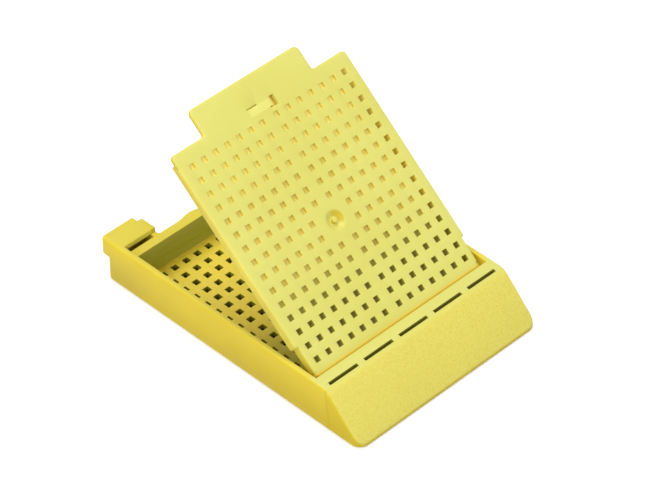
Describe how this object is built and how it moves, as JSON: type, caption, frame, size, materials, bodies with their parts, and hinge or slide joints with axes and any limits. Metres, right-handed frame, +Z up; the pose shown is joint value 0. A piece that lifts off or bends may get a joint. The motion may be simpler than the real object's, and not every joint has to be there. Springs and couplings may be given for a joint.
{
  "type": "tissue cassette",
  "caption": "Shallow perforated tray with a sloping writing face and a loose perforated lid, holding a tissue sample through processing and embedding.",
  "frame": {"origin": "middle of the tray's underside, in plan half way between the foot of the writing face and the finger lips", "axes": "+X across the tray, +Y from the writing face to the finger lips, +Z up"},
  "size_m": [0.0286, 0.0414, 0.0258],
  "materials": {
    "base": "fine matte yellow moulding plastic, grained on the writing face",
    "lid": "fine matte pale yellow moulding plastic"
  },
  "bodies": {
    "base": {"base": "base"},
    "lid": {"lid": "lid"}
  },
  "joints": [
    {"name": "lid_tilt", "type": "hinge", "parent": "base", "child": "lid", "pos_m": [0, -0.01195, 0.00447], "axis": [1, 0, 0], "range_deg": [-39.9, 45]}
  ]
}
